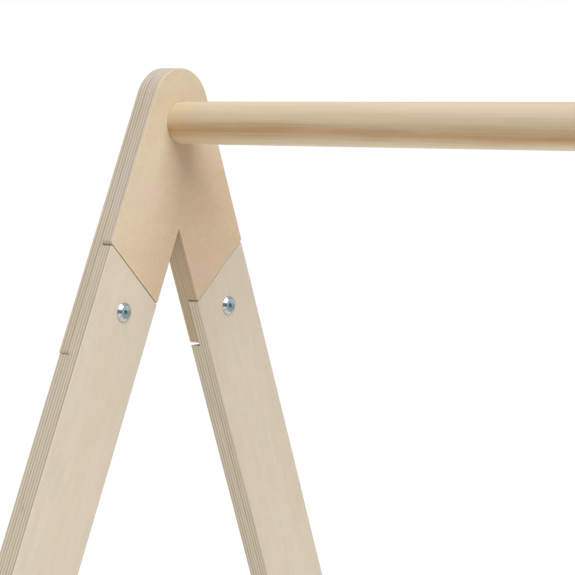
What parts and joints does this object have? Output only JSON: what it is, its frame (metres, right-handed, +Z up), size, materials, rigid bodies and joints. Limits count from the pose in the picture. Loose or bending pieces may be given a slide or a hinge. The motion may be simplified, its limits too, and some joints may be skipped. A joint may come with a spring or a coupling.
{
  "type": "kip bar",
  "caption": "Free-standing wooden gymnastics bar: a round rail held between bolted plywood A-frames and braced near the floor, for kips, rolls and hangs.",
  "frame": {"origin": "on the floor, under the middle of the bar", "axes": "+X along the bar from left to right, +Y from the front legs to the rear legs, +Z up"},
  "size_m": [1.2508, 0.9864, 1.145],
  "materials": {
    "head_ply": "satin clear lacquer on birch plywood",
    "leg_ply": "satin clear lacquer on birch plywood",
    "rail_ply": "satin clear lacquer on birch plywood",
    "bar_wood": "sanded and satin lacquered solid wood",
    "zinc": "bright zinc plate",
    "rubber": "matt"
  },
  "bodies": {
    "root": {"bar": "bar_wood", "head_plate_left": "head_ply", "tie_rail_left": "rail_ply", "bar_insert_left": "zinc", "bar_washer_left": "zinc", "bar_bolt_left": "zinc", "head_plate_right": "head_ply", "tie_rail_right": "rail_ply", "bar_insert_right": "zinc", "bar_washer_right": "zinc", "bar_bolt_right": "zinc", "leg_left_front": "leg_ply", "foot_pad_left_front": "rubber", "foot_screw_left_front": "zinc", "lap_bolt_left_front": "zinc", "lap_nut_left_front": "zinc", "tie_bolt_left_front": "zinc", "tie_nut_left_front": "zinc", "stretcher_bolts_left_front": "zinc", "barrel_nuts_left_front": "zinc", "leg_left_rear": "leg_ply", "foot_pad_left_rear": "rubber", "foot_screw_left_rear": "zinc", "lap_bolt_left_rear": "zinc", "lap_nut_left_rear": "zinc", "tie_bolt_left_rear": "zinc", "tie_nut_left_rear": "zinc", "stretcher_bolts_left_rear": "zinc", "barrel_nuts_left_rear": "zinc", "leg_right_front": "leg_ply", "foot_pad_right_front": "rubber", "foot_screw_right_front": "zinc", "lap_bolt_right_front": "zinc", "lap_nut_right_front": "zinc", "tie_bolt_right_front": "zinc", "tie_nut_right_front": "zinc", "stretcher_bolts_right_front": "zinc", "barrel_nuts_right_front": "zinc", "leg_right_rear": "leg_ply", "foot_pad_right_rear": "rubber", "foot_screw_right_rear": "zinc", "lap_bolt_right_rear": "zinc", "lap_nut_right_rear": "zinc", "tie_bolt_right_rear": "zinc", "tie_nut_right_rear": "zinc", "stretcher_bolts_right_rear": "zinc", "barrel_nuts_right_rear": "zinc", "stretcher_front": "rail_ply", "stretcher_rear": "rail_ply"}
  },
  "joints": []
}
